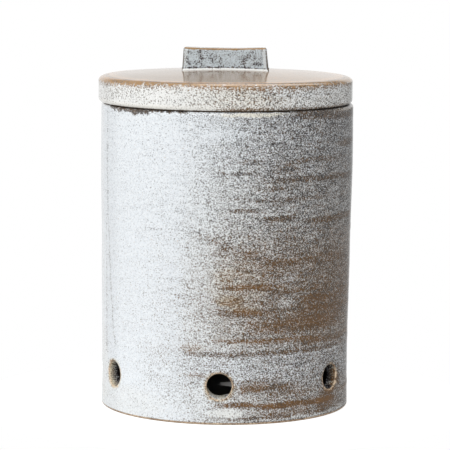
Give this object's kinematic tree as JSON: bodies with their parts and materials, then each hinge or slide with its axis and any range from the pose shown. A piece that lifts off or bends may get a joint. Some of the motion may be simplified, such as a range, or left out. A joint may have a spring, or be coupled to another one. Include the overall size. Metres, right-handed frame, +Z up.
{
  "type": "onion jar",
  "caption": "Upright glazed stoneware jar with air vents low in its wall and a loose slab-handled lid, for keeping onions.",
  "frame": {"origin": "middle of the foot, on the surface that the jar stands on", "axes": "+Z up along the jar's axis; -Y is the front, where a vent looks straight out; the lid's handle runs along X"},
  "size_m": [0.1803, 0.1798, 0.2541],
  "materials": {
    "jar_glaze": "gloss",
    "lid_glaze": "gloss",
    "handle_glaze": "gloss",
    "bare_stoneware": "matte"
  },
  "bodies": {
    "jar": {"jar_body": "jar_glaze"},
    "lid": {"lid_disc": "lid_glaze", "lid_locating_ring": "bare_stoneware", "lid_handle": "handle_glaze"}
  },
  "joints": [
    {"name": "lid_lift", "type": "slide", "parent": "jar", "child": "lid", "axis": [0, 0, 1], "range_m": [0, 0.15]}
  ]
}
